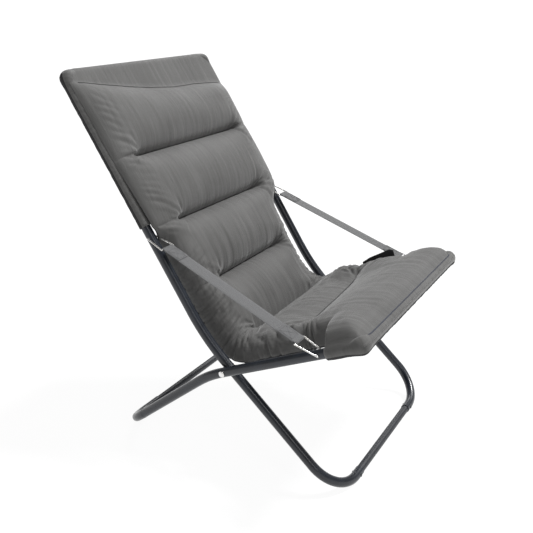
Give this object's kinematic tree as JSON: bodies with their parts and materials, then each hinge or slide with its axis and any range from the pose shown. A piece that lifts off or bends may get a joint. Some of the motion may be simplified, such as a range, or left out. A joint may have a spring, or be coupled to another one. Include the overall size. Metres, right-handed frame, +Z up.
{
  "type": "folding chair",
  "caption": "Reclining folding chair: two crossed bent-tube frames on a pivot, a quilted padded cover slung between them and webbing arm straps on wire links.",
  "frame": {"origin": "on the floor, in the middle of the chair's width and depth, when it stands open", "axes": "+X to the sitter's left, the sitter faces -Y, +Z up"},
  "size_m": [0.6196, 0.7812, 0.877],
  "materials": {
    "tube_paint": "satin gloss",
    "zinc_wire": "bright zinc plate",
    "washer_plastic": "matt",
    "cover_cloth": "brushed polyester with a soft sheen",
    "strap_webbing": "ribbed webbing"
  },
  "bodies": {
    "back_frame": {"back_side_tube_right": "tube_paint", "back_side_tube_left": "tube_paint", "back_top_bar": "tube_paint", "back_floor_bar": "tube_paint", "back_bar_rivets": "tube_paint", "pivot_bolt_right": "zinc_wire", "pivot_bolt_left": "zinc_wire", "pivot_cap_nut_right": "zinc_wire", "pivot_cap_nut_left": "zinc_wire", "pivot_washer_right": "washer_plastic", "pivot_washer_left": "washer_plastic", "cover_top_sleeve": "cover_cloth", "cover_head_pad": "cover_cloth", "cover_shoulder_pad": "cover_cloth", "cover_back_pad": "cover_cloth", "cover_lumbar_pad": "cover_cloth", "cover_crease": "cover_cloth"},
    "seat_frame": {"seat_side_tube_right": "tube_paint", "seat_side_tube_left": "tube_paint", "seat_front_bar": "tube_paint", "seat_floor_bar": "tube_paint", "seat_bar_rivets": "tube_paint", "cover_seat_rear_pad": "cover_cloth", "cover_seat_front_pad": "cover_cloth", "cover_front_sleeve": "cover_cloth"},
    "rear_link_right": {"rear_wire_link_right": "zinc_wire"},
    "front_link_right": {"front_wire_link_right": "zinc_wire"},
    "strap_rear_right": {"arm_strap_rear_right": "strap_webbing"},
    "strap_front_right": {"arm_strap_front_right": "strap_webbing"},
    "rear_link_left": {"rear_wire_link_left": "zinc_wire"},
    "front_link_left": {"front_wire_link_left": "zinc_wire"},
    "strap_rear_left": {"arm_strap_rear_left": "strap_webbing"},
    "strap_front_left": {"arm_strap_front_left": "strap_webbing"}
  },
  "joints": [
    {"name": "fold", "type": "hinge", "parent": "back_frame", "child": "seat_frame", "pos_m": [0, -0.05328, 0.25374], "axis": [-1, 0, 0], "range_deg": [0, 80], "deforming": ["arm_strap_rear_right", "arm_strap_rear_left", "arm_strap_front_right", "arm_strap_front_left"]},
    {"name": "rear_link_swing_right", "type": "hinge", "parent": "back_frame", "child": "rear_link_right", "pos_m": [-0.2635, 0.15365, 0.52555], "axis": [1, 0, 0], "range_deg": [0, 12]},
    {"name": "front_link_swing_right", "type": "hinge", "parent": "seat_frame", "child": "front_link_right", "pos_m": [-0.2875, -0.28582, 0.36317], "axis": [1, 0, 0], "range_deg": [0, 50]},
    {"name": "strap_swing_right", "type": "hinge", "parent": "rear_link_right", "child": "strap_rear_right", "pos_m": [-0.2635, 0.10863, 0.50892], "axis": [1, 0, 0], "range_deg": [0, 25]},
    {"name": "strap_fold_right", "type": "hinge", "parent": "strap_rear_right", "child": "strap_front_right", "pos_m": [-0.27646, -0.07803, 0.43994], "axis": [-1, 0, 0], "range_deg": [0, 169]},
    {"name": "rear_link_swing_left", "type": "hinge", "parent": "back_frame", "child": "rear_link_left", "pos_m": [0.2635, 0.15365, 0.52555], "axis": [1, 0, 0], "range_deg": [0, 12]},
    {"name": "front_link_swing_left", "type": "hinge", "parent": "seat_frame", "child": "front_link_left", "pos_m": [0.2875, -0.28582, 0.36317], "axis": [1, 0, 0], "range_deg": [0, 50]},
    {"name": "strap_swing_left", "type": "hinge", "parent": "rear_link_left", "child": "strap_rear_left", "pos_m": [0.2635, 0.10863, 0.50892], "axis": [1, 0, 0], "range_deg": [0, 25]},
    {"name": "strap_fold_left", "type": "hinge", "parent": "strap_rear_left", "child": "strap_front_left", "pos_m": [0.27646, -0.07803, 0.43994], "axis": [-1, 0, 0], "range_deg": [0, 169]}
  ],
  "couplings": [
    {"joint": "rear_link_swing_right", "follows": "fold", "ratio": 0.1465},
    {"joint": "front_link_swing_right", "follows": "fold", "ratio": 0.615},
    {"joint": "strap_swing_right", "follows": "fold", "ratio": 0.3},
    {"joint": "strap_fold_right", "follows": "fold", "ratio": 2.1},
    {"joint": "rear_link_swing_left", "follows": "fold", "ratio": 0.1465},
    {"joint": "front_link_swing_left", "follows": "fold", "ratio": 0.615},
    {"joint": "strap_swing_left", "follows": "fold", "ratio": 0.3},
    {"joint": "strap_fold_left", "follows": "fold", "ratio": 2.1}
  ]
}
